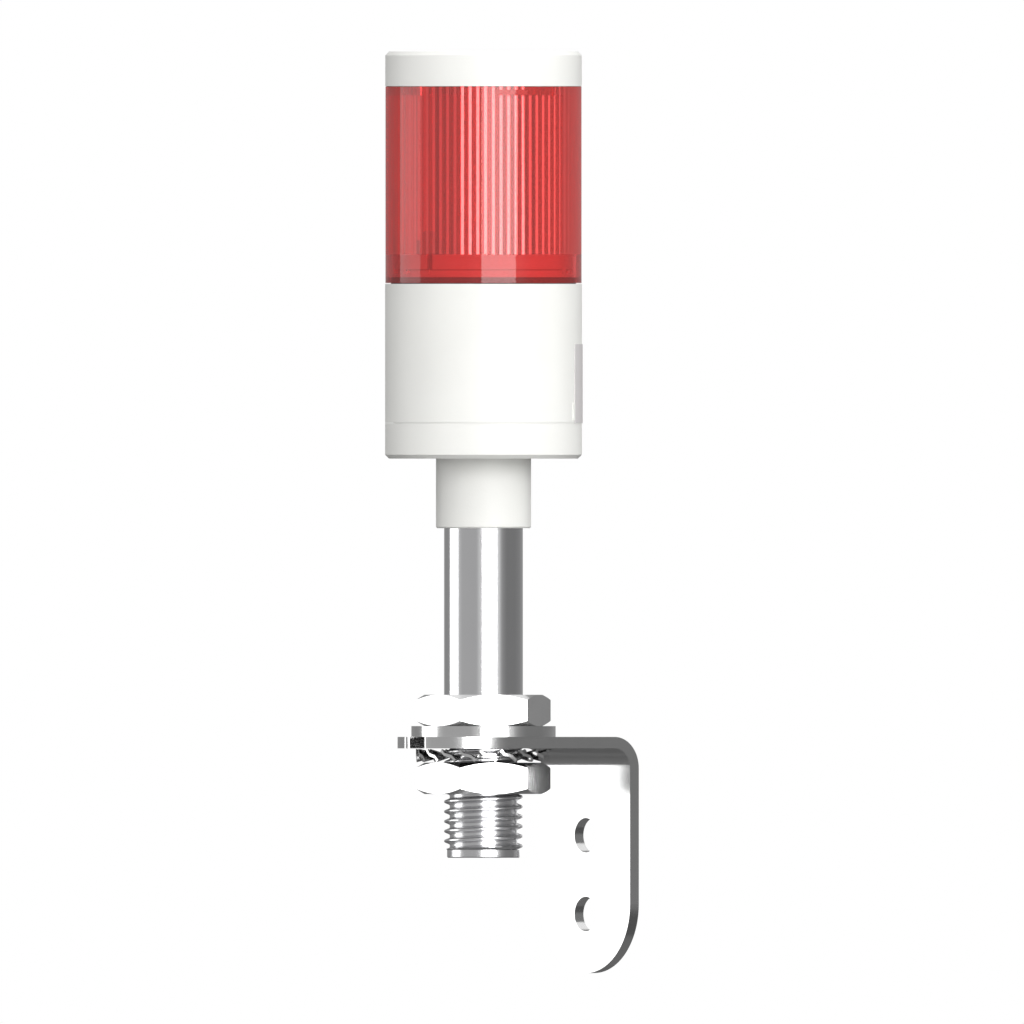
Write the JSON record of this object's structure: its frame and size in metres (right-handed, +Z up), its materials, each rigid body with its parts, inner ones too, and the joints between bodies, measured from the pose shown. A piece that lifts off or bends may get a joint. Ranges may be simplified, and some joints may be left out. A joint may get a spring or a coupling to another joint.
{
  "type": "stack light",
  "caption": "Round signal tower light with a clear red ribbed lens on a white body, a threaded support tube and a folded L bracket for a wall.",
  "frame": {"origin": "centre of the tube's lower end, where the cable comes out", "axes": "+Z up the tube towards the cap, +Y from the tube towards the wall, +X to the right seen from the front"},
  "size_m": [0.06, 0.0742, 0.2809],
  "materials": {
    "tube_metal": "polished",
    "nut_metal": "bright plated steel",
    "bracket_metal": "bright sheet steel",
    "white_plastic": "satin moulded, warm white",
    "red_clear": "clear red, polished outside",
    "black_rubber": "matte",
    "green_board": "solder mask",
    "white_board": "white solder mask",
    "green_plastic": "moulded",
    "can_metal": "drawn can",
    "black_plastic": "moulded",
    "diode": "diode body",
    "label_film": "light grey film"
  },
  "bodies": {
    "bracket_arm": {"bracket": "bracket_metal"},
    "lens_unit": {"lens": "red_clear"},
    "cap_unit": {"top_cap": "white_plastic", "cap_seal": "black_rubber"},
    "lock_ring": {"lock_washer": "nut_metal"},
    "clamp_nut": {"lower_nut": "nut_metal"},
    "lamp": {"support_tube": "tube_metal", "upper_nut": "nut_metal", "flat_washer": "nut_metal", "base": "white_plastic", "body_shell": "white_plastic", "lens_seat": "white_plastic", "lens_seal": "black_rubber", "base_seal": "black_rubber", "tube_seal": "black_rubber", "base_screws": "nut_metal", "board_screws": "nut_metal", "unit_screws": "nut_metal", "terminal_screws": "nut_metal", "ring_nut": "nut_metal", "circuit_board": "green_board", "led_board": "white_board", "terminal_block": "green_plastic", "capacitors": "can_metal", "driver_chip": "black_plastic", "link_header": "black_plastic", "leds": "diode", "rating_label": "label_film"}
  },
  "joints": [
    {"name": "lamp_swivel", "type": "hinge", "parent": "bracket_arm", "child": "lamp", "pos_m": [0, 0, 0.035], "axis": [0, 0, 1], "continuous": true},
    {"name": "lens_twist", "type": "hinge", "parent": "lamp", "child": "lens_unit", "pos_m": [0, 0, 0.1787], "axis": [0, 0, 1], "range_deg": [0, 20]},
    {"name": "cap_twist", "type": "hinge", "parent": "lens_unit", "child": "cap_unit", "pos_m": [0, 0, 0.2352], "axis": [0, 0, 1], "range_deg": [0, 20]},
    {"name": "nut_travel", "type": "slide", "parent": "lamp", "child": "lock_ring", "axis": [0, 0, 1], "range_m": [-0.015, 0]},
    {"name": "nut_turn", "type": "hinge", "parent": "lock_ring", "child": "clamp_nut", "pos_m": [0, 0, 0.024], "axis": [0, 0, 1], "range_deg": [-1800, 0]}
  ],
  "couplings": [
    {"joint": "nut_travel", "follows": "nut_turn", "m_per_rad": 0.00047746}
  ]
}
